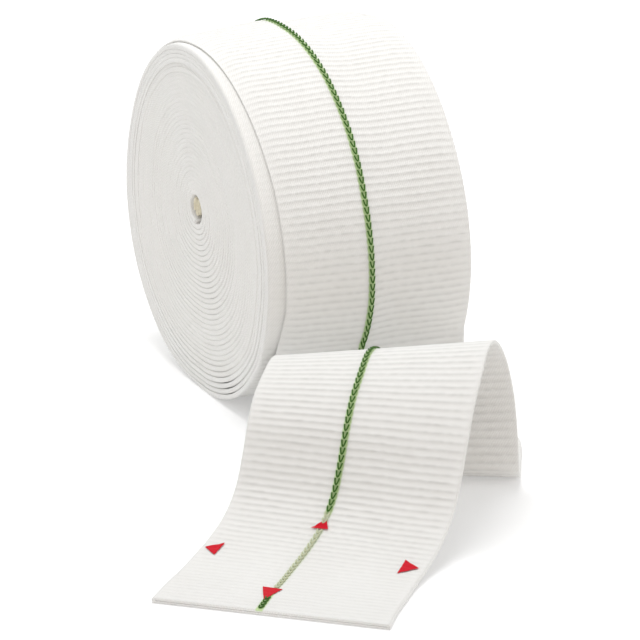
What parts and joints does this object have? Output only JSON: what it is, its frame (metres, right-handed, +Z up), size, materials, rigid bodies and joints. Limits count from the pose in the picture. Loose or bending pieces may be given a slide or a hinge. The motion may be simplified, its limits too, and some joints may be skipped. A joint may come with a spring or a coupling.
{
  "type": "tubular bandage",
  "caption": "Off-white elasticated tubular bandage, wound flat into a roll standing on its rim, its free end led over a soft arch to a flat cut edge.",
  "frame": {"origin": "on the floor, under the middle of the whole object's bounding box", "axes": "+Z up from the floor, +X along the roll's axle line away from the face seen in front, -Y from the roll towards the free end"},
  "size_m": [0.115, 0.2072, 0.0837],
  "materials": {
    "knit": "off-white ribbed cotton and elastic knit, matte",
    "marker_yarn": "green yarn line knitted in along the tube, matte",
    "print": "red ink printed on the knit, matte"
  },
  "bodies": {
    "root": {"wound_roll": "knit", "free_length": "knit"}
  },
  "joints": []
}
